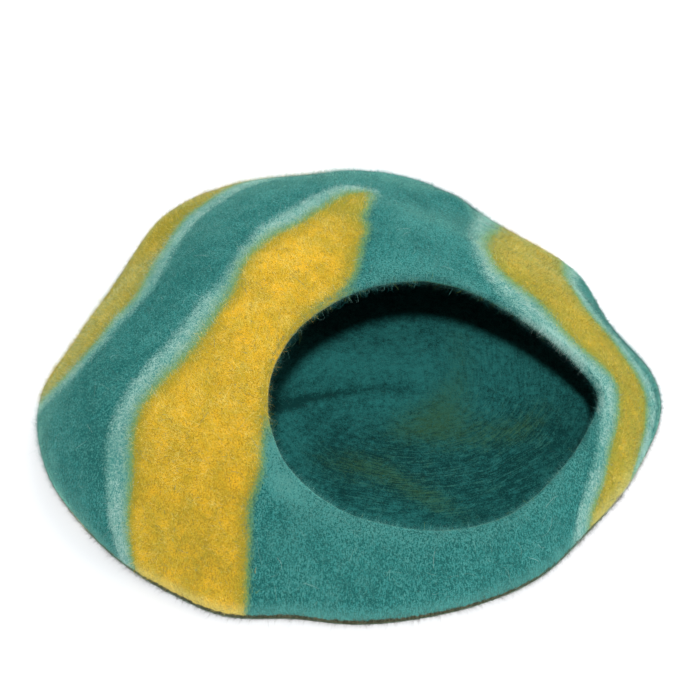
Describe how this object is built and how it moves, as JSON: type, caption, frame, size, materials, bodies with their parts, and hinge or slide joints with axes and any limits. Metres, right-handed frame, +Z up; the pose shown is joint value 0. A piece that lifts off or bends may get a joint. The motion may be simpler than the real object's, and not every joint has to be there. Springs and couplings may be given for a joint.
{
  "type": "felt cat cave",
  "caption": "Seamless wool felt cat cave: a soft lens-shaped dome on a flat floor, with an almond mouth cut through its front right and broad felted-in stripes.",
  "frame": {"origin": "on the surface the cave rests on, under the middle of its bounding box", "axes": "+Z up, +X toward the right end seen from the mouth side, -Y toward the side that the mouth looks to"},
  "size_m": [0.4838, 0.4426, 0.1628],
  "materials": {
    "wool_felt": "matt wet-felted wool with short fuzz, teal with mustard stripes edged in pale aqua, olive brown underneath"
  },
  "bodies": {
    "root": {"felt_cave": "wool_felt"}
  },
  "joints": []
}
